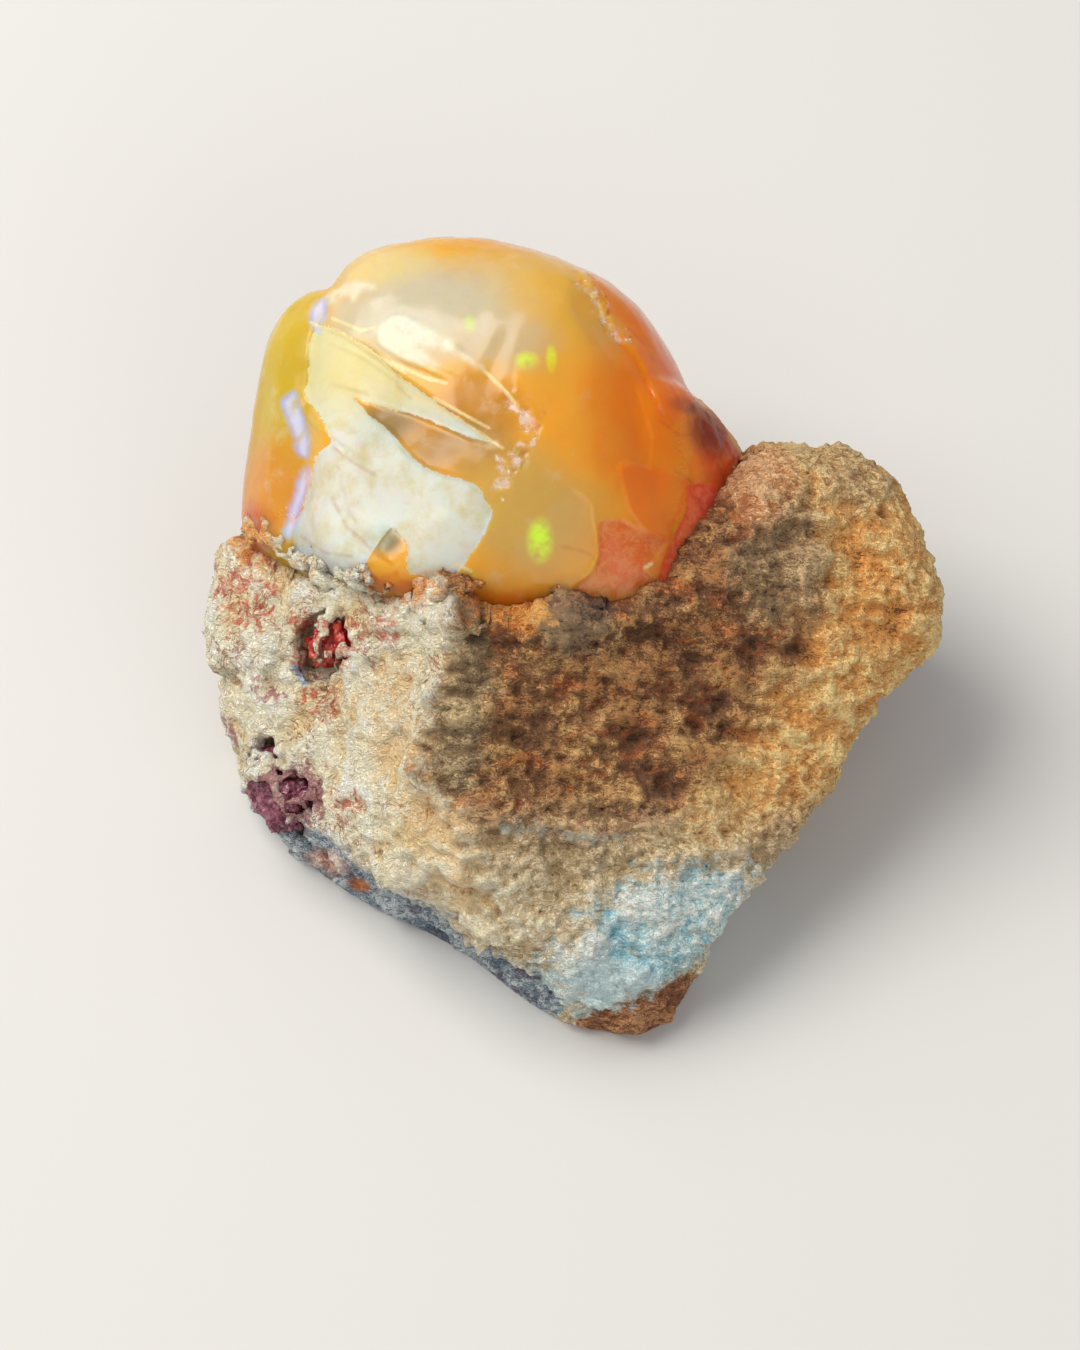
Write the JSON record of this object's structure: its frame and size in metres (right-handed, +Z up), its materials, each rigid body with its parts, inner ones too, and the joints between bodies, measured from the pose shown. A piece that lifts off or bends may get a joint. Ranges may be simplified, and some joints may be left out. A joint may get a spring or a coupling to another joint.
{
  "type": "rough fire opal in matrix",
  "caption": "Glassy amber to orange fire opal dome set in a wedge of rough clay-like volcanic rock, resting on its flat broken back.",
  "frame": {"origin": "middle of the footprint box, on the surface that the specimen rests on", "axes": "+Z up; the show face leans back 30 degrees from level and faces -Y and +Z; +X to the right seen from the front"},
  "size_m": [0.0338, 0.032, 0.0215],
  "materials": {
    "fire_opal": "translucent amber to orange opal, glassy conchoidal breaks",
    "red_opal": "dark red glassy opal",
    "purple_opal": "dark purple glassy opal",
    "host_rock": "rough cream to brown clay-like rhyolite"
  },
  "bodies": {
    "root": {"opal_nodule": "fire_opal", "red_opal_pocket": "red_opal", "purple_opal_pocket": "purple_opal", "host_rock": "host_rock"}
  },
  "joints": []
}
